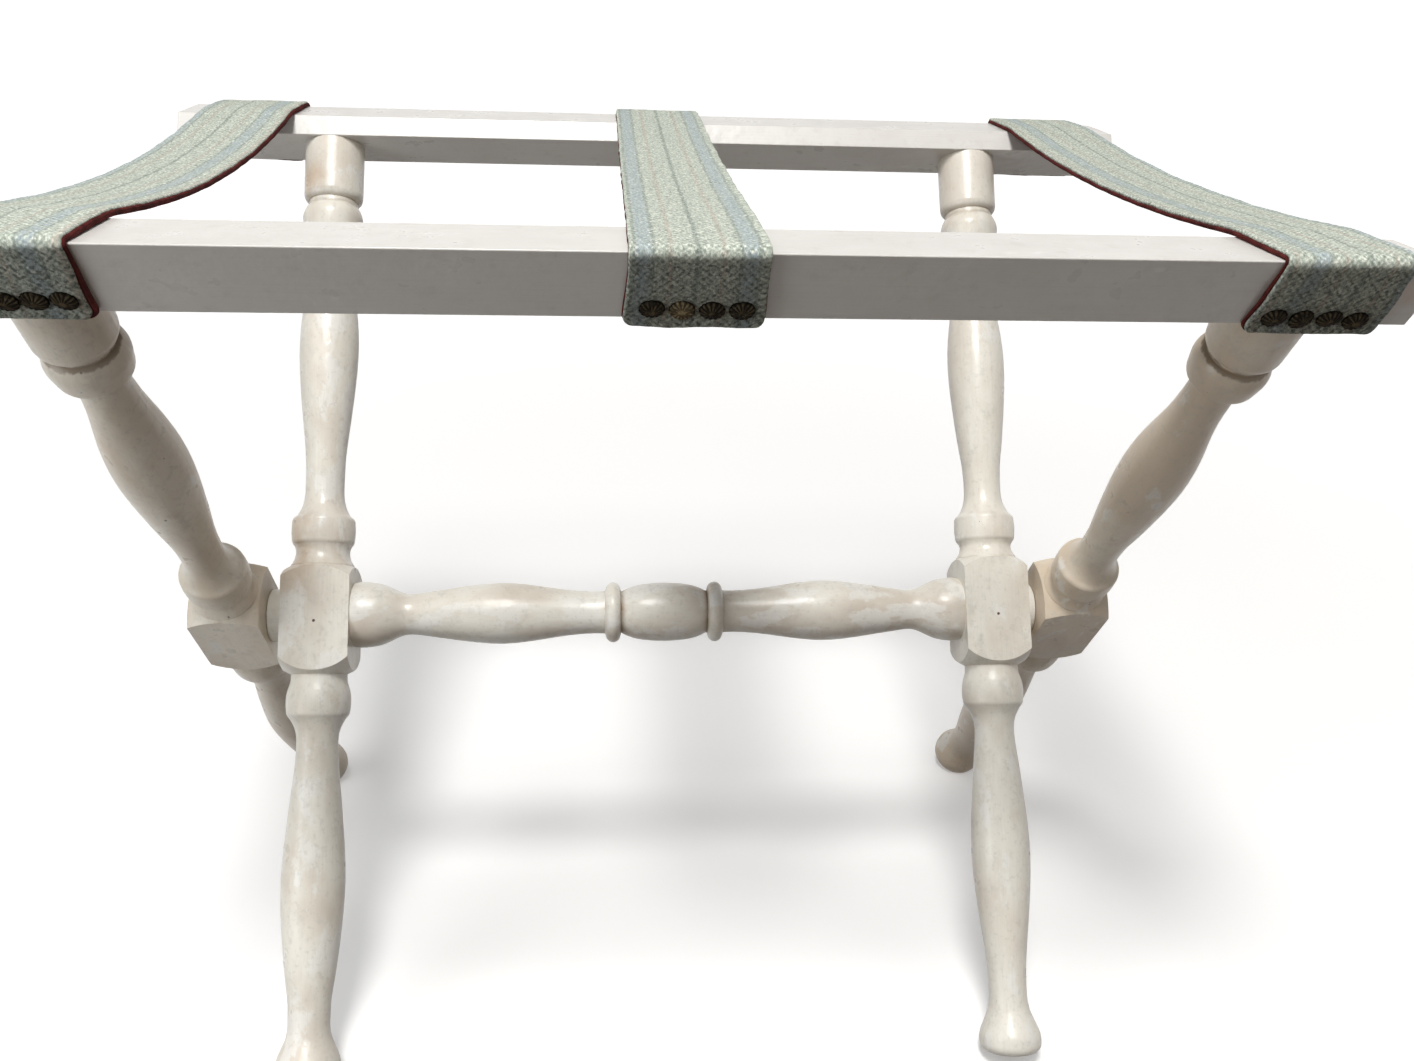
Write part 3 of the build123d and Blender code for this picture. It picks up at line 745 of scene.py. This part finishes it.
def nail_head(turn, flat):
    """Vertices, faces and ridge values of one fluted head with its underside at the origin."""
    rings, around = 13, FLUTES * 8
    vertices = [(0.0, 0.0, NAIL_HEIGHT * (0.80 if flat else 1.0))]
    ridges = [1.0]
    for ring in range(1, rings + 1):
        part = ring / rings
        for number in range(around):
            angle = 2 * pi * number / around
            petal = abs(cos(angle * FLUTES / 2))
            depth = min(1.0, max(0.0, (part - BUTTON) / 0.3))
            radius = NAIL_RADIUS * part * (1 - 0.05 * (1 - petal) * part)
            dome = sqrt(max(0.0, 1 - (part * 0.985) ** 2))
            rise = NAIL_HEIGHT * dome * (1 - 0.20 * depth * (1 - petal))
            if part < BUTTON:
                rise += NAIL_HEIGHT * 0.05
            if flat:
                rise = min(rise, NAIL_HEIGHT * 0.62) + NAIL_HEIGHT * 0.10 * (part < 0.45)
            vertices.append((radius * cos(angle + turn), radius * sin(angle + turn), rise))
            ridges.append(petal if part > BUTTON else 1.0)
    bottom = 1 + rings * around
    for number in range(around):
        x, y, _ = vertices[bottom - around + number]
        vertices.append((x * 0.93, y * 0.93, -RIM_UNDER))
        ridges.append(0.0)
    vertices.append((0.0, 0.0, -RIM_UNDER))
    ridges.append(0.0)
    faces = [(0, 1 + number, 1 + (number + 1) % around) for number in range(around)]
    for ring in range(rings):
        low, high = 1 + ring * around, 1 + (ring + 1) * around
        for number in range(around):
            after = (number + 1) % around
            faces.append((low + number, high + number, high + after, low + after))
    for number in range(around):
        faces.append((bottom + number, bottom + around, bottom + (number + 1) % around))
    return vertices, faces, ridges


def nail_row(name, end, materials, rng):
    """The four nails at one end of a strap, each turned and tilted a little differently."""
    vertices, faces, ridges, slots = [], [], [], []
    sign = 1 if end == "front" else -1
    lift = RAIL_WIDTH / 2 + STRAP_THICKNESS + CLEARANCE - 0.0002
    for number, x in enumerate(nail_places(name)):
        flat = name == "middle" and end == "front" and number == 1
        head, head_faces, head_ridges = nail_head(rng.uniform(0, pi), flat)
        tilt = Matrix.Rotation(rng.normal(0, NAIL_TILT), 3, "X")
        tilt = tilt @ Matrix.Rotation(rng.normal(0, NAIL_TILT), 3, "Y")
        up = (FRONT_NAIL_UP[name] if end == "front" else BACK_NAIL_UP) + rng.normal(0, NAIL_WANDER)
        bottom = RAIL_TOP_UP - RAIL_OUTER_HEIGHT
        centre = PIVOT + FACE_OUT * lift + FACE_UP * (bottom + up)
        first = len(vertices)
        for vertex in head:
            local = tilt @ Vector(vertex)
            point = centre + Vector((x + local.x, 0, 0)) + FACE_UP * local.y + FACE_OUT * local.z
            vertices.append((point.x, point.y * sign, point.z))
        for face in head_faces:
            shifted = tuple(first + corner for corner in face)
            faces.append(shifted if sign > 0 else shifted[::-1])
        ridges += head_ridges
        slots += [int(flat)] * len(head_faces)
    label = "nails_" + name + "_" + end
    mesh = bpy.data.meshes.new(label + "_heads")
    mesh.from_pydata(vertices, [], faces)
    mesh.attributes.new("ridge", "FLOAT", "POINT").data.foreach_set("value", ridges)
    for material in materials:
        mesh.materials.append(material)
    mesh.polygons.foreach_set("material_index", slots)
    mesh.polygons.foreach_set("use_smooth", [True] * len(faces))
    piece = bpy.data.objects.new(label + "_heads", mesh)
    bpy.context.scene.collection.objects.link(piece)
    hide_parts(label)
    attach(piece, "outer_frame" if end == "front" else "inner_frame")


def make_nails():
    rng = np.random.default_rng(4)
    dark = brass("antique_brass", (0.036, 0.028, 0.017), (0.005, 0.004, 0.003), 1.0)
    worn = brass("worn_brass", (0.10, 0.078, 0.045), (0.020, 0.015, 0.009), 2.0)
    for name in STRAPS:
        for end in ("front", "back"):
            nail_row(name, end, (dark, worn), rng)


# ---- studio ----
FLOOR_RADIUS = 3.2
WALL_RADIUS = 2.4


def make_floor():
    """A pale round floor that curves up into a wall on all sides."""
    profile = [(0.0, 0.0), (FLOOR_RADIUS * 0.5, 0.0), (FLOOR_RADIUS, 0.0)]
    for number in range(1, 25):
        angle = pi / 2 * number / 24
        profile.append((FLOOR_RADIUS + WALL_RADIUS * sin(angle), WALL_RADIUS * (1 - cos(angle))))
    around = 96
    vertices = [(0.0, 0.0, 0.0)]
    for radius, height in profile[1:]:
        for number in range(around):
            angle = 2 * pi * number / around
            vertices.append((radius * cos(angle), radius * sin(angle), height))
    faces = [(0, 1 + number, 1 + (number + 1) % around) for number in range(around)]
    for ring in range(len(profile) - 2):
        low, high = 1 + ring * around, 1 + (ring + 1) * around
        for number in range(around):
            after = (number + 1) % around
            faces.append((low + number, high + number, high + after, low + after))
    mesh = bpy.data.meshes.new("floor")
    mesh.from_pydata(vertices, [], faces)
    mesh.polygons.foreach_set("use_smooth", [True] * len(faces))
    shader = Shader("pale_floor")
    place = shader.node("TexCoord").outputs["Object"]
    tone = shader.noise(place, 2.0, 2.0)
    color = shader.mix(tone, (0.83, 0.825, 0.815), (0.86, 0.855, 0.85))
    normal = shader.bump(shader.noise(place, 300.0, 2.0), 0.0001, 0.2)
    distance = shader.math("SQRT", shader.vector("DOT_PRODUCT", place, place))
    glow = shader.mix(shader.step(distance, 0.3, 2.6), (0.26, 0.26, 0.26), (0.78, 0.78, 0.78))
    shader.put(glow, shader.surface.inputs["Emission Color"])
    mesh.materials.append(shader.finish(color, 0.7, normal, Specular_IOR_Level=0.1,
                                        Emission_Strength=1.0))
    floor = bpy.data.objects.new("floor", mesh)
    floor.visible_diffuse = False
    bpy.context.scene.collection.objects.link(floor)


def area_light(name, place, target, size, power, color):
    light = bpy.data.lights.new(name, "AREA")
    light.shape = "DISK"
    light.size = size
    light.energy = power
    light.color = color
    lamp = bpy.data.objects.new(name, light)
    lamp.location = place
    lamp.rotation_euler = (Vector(target) - Vector(place)).to_track_quat("-Z", "Y").to_euler()
    bpy.context.scene.collection.objects.link(lamp)


def make_lights():
    middle = (0, 0, 0.35)
    area_light("key", (-0.30, -1.02, 3.05), middle, 0.7, 56, (1.0, 0.99, 0.975))
    area_light("front", (-0.30, -1.50, 2.75), middle, 0.8, 24, (1.0, 0.99, 0.975))
    area_light("left_side", (-1.15, -0.7, 1.3), middle, 0.7, 3.6, (0.98, 0.99, 1.0))
    area_light("right_side", (1.1, -0.8, 1.4), middle, 0.7, 1.6, (1.0, 0.98, 0.95))
    area_light("low_left", (-0.95, -0.62, 0.42), (-0.2, -0.2, 0.42), 0.5, 2.6, (0.92, 0.97, 1.0))
    world = bpy.data.worlds.new("studio")
    world.use_nodes = True
    tree = world.node_tree
    background = tree.nodes["Background"]
    place = tree.nodes.new("ShaderNodeTexCoord")
    split = tree.nodes.new("ShaderNodeSeparateXYZ")
    ramp = tree.nodes.new("ShaderNodeValToRGB")
    lift = tree.nodes.new("ShaderNodeMath")
    lift.operation = "MULTIPLY_ADD"
    lift.inputs[1].default_value = 0.5
    lift.inputs[2].default_value = 0.5
    tree.links.new(place.outputs["Generated"], split.inputs[0])
    tree.links.new(split.outputs["Z"], lift.inputs[0])
    tree.links.new(lift.outputs[0], ramp.inputs[0])
    ramp.color_ramp.elements[0].position = 0.4
    ramp.color_ramp.elements[0].color = (0.098, 0.078, 0.060, 1)
    ramp.color_ramp.elements[1].position = 0.62
    ramp.color_ramp.elements[1].color = (0.22, 0.215, 0.21, 1)
    tree.links.new(ramp.outputs[0], background.inputs["Color"])
    background.inputs["Strength"].default_value = 1.0
    bpy.context.scene.world = world


# ---- camera ----
CAMERA_PLACE = (-0.0389, -0.6909, 0.6242)
CAMERA_YAW = radians(5.37)          # turned to the right
CAMERA_PITCH = radians(25.41)       # looking down
CAMERA_ROLL = radians(-2.07)
LENS = 31.26
SENSOR = 36.0


def make_camera():
    yaw, pitch, roll = CAMERA_YAW, CAMERA_PITCH, CAMERA_ROLL
    ahead = Vector((sin(yaw) * cos(pitch), cos(yaw) * cos(pitch), -sin(pitch)))
    right = Vector((cos(yaw), -sin(yaw), 0))
    down = ahead.cross(right)
    rolled_right = right * cos(roll) + down * sin(roll)
    rolled_down = down * cos(roll) - right * sin(roll)
    data = bpy.data.cameras.new("camera")
    data.lens = LENS
    data.sensor_width = SENSOR
    data.clip_start = 0.02
    camera = bpy.data.objects.new("camera", data)
    turned = Matrix((rolled_right, -rolled_down, -ahead)).transposed()
    camera.matrix_world = Matrix.Translation(CAMERA_PLACE) @ turned.to_4x4()
    bpy.context.scene.collection.objects.link(camera)
    bpy.context.scene.camera = camera
    bpy.context.scene.view_settings.view_transform = "Standard"


make_camera()
paint_wood()
make_straps()
make_nails()
make_floor()
make_lights()
